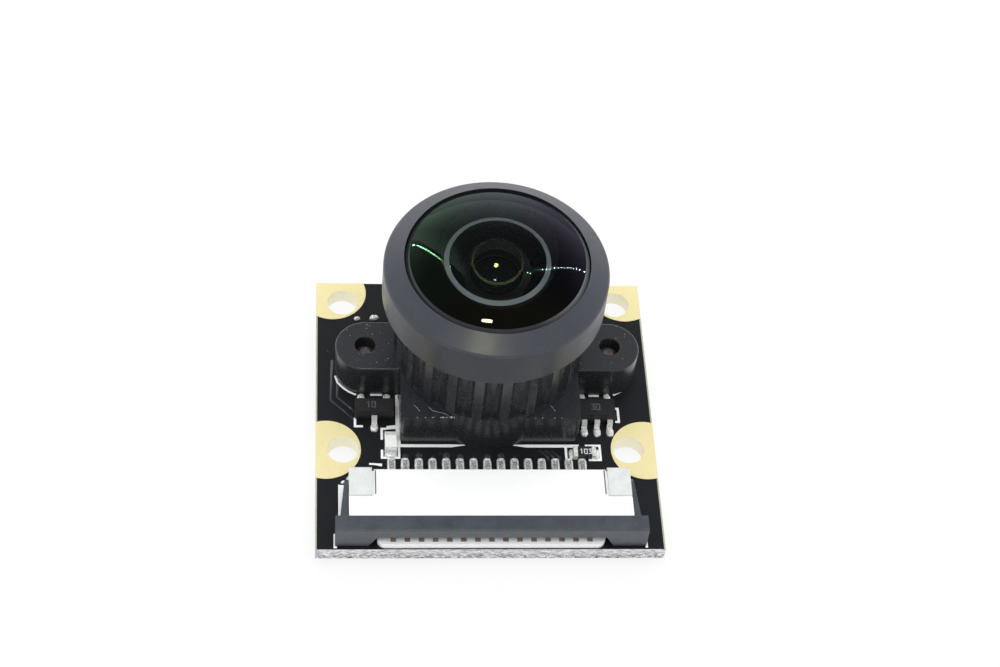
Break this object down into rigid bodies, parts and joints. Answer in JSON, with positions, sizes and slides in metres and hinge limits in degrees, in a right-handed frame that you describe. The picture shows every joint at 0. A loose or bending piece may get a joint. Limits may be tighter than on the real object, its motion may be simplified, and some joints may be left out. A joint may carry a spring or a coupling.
{
  "type": "camera module",
  "caption": "Small square camera board with a domed fisheye lens in a ribbed screw mount and a ribbon-cable connector with a sliding latch.",
  "frame": {"origin": "under the middle of the board's outline, level with the undersides of the two screw heads", "axes": "+Z along the lens axis, out of the glass; +X along the connector; +Y from the connector towards the lens"},
  "size_m": [0.025, 0.024, 0.0174],
  "materials": {
    "solder_mask": "black solder mask, semi-gloss",
    "gold_plating": "pale immersion gold",
    "black_moulding": "moulded, glossy",
    "screw_steel": "nickel-plated",
    "filter_glass": "infrared-cut coating",
    "sensor_package": "laminate package",
    "clear_glass": "coated optical glass",
    "coated_glass": "domed, green and purple coating",
    "white_nylon": "moulded, satin",
    "grey_nylon": "moulded, satin",
    "tinned_contact": "tin-plated bronze",
    "tinned_strip": "matt tin plate",
    "tinned_lead": "tin plate",
    "chip_plastic": "moulded epoxy",
    "led_resin": "translucent resin",
    "solder_end": "tinned",
    "resistor_film": "glazed film",
    "black_anodised": "matt black anodised",
    "blackened_ring": "matt black anodised",
    "ring_metal": "bare edge"
  },
  "bodies": {
    "board": {"circuit_board": "solder_mask", "hole_pads": "gold_plating", "lens_mount": "black_moulding", "mount_screws": "screw_steel", "ir_filter": "filter_glass", "image_sensor": "sensor_package", "sensor_glass": "clear_glass", "connector_housing": "white_nylon", "connector_contacts": "tinned_contact", "connector_tabs": "tinned_strip", "three_pin_chip": "chip_plastic", "three_pin_leads": "tinned_lead", "five_pin_chip": "chip_plastic", "five_pin_leads": "tinned_lead", "led_body": "led_resin", "led_ends": "solder_end", "resistor_body": "resistor_film", "resistor_ends": "solder_end"},
    "latch": {"connector_latch": "grey_nylon"},
    "lens": {"lens_barrel": "black_anodised", "front_glass": "coated_glass", "second_glass": "clear_glass", "third_glass": "clear_glass", "rear_glass": "clear_glass", "aperture_stop": "blackened_ring", "spacer_ring": "blackened_ring", "retaining_ring": "ring_metal"}
  },
  "joints": [
    {"name": "latch_slide", "type": "slide", "parent": "board", "child": "latch", "axis": [0, -1, 0], "range_m": [0, 0.0012]},
    {"name": "focus_turn", "type": "hinge", "parent": "board", "child": "lens", "pos_m": [0.0002, 0.0037, 0.008], "axis": [0, 0, 1], "range_deg": [-360, 720]}
  ]
}
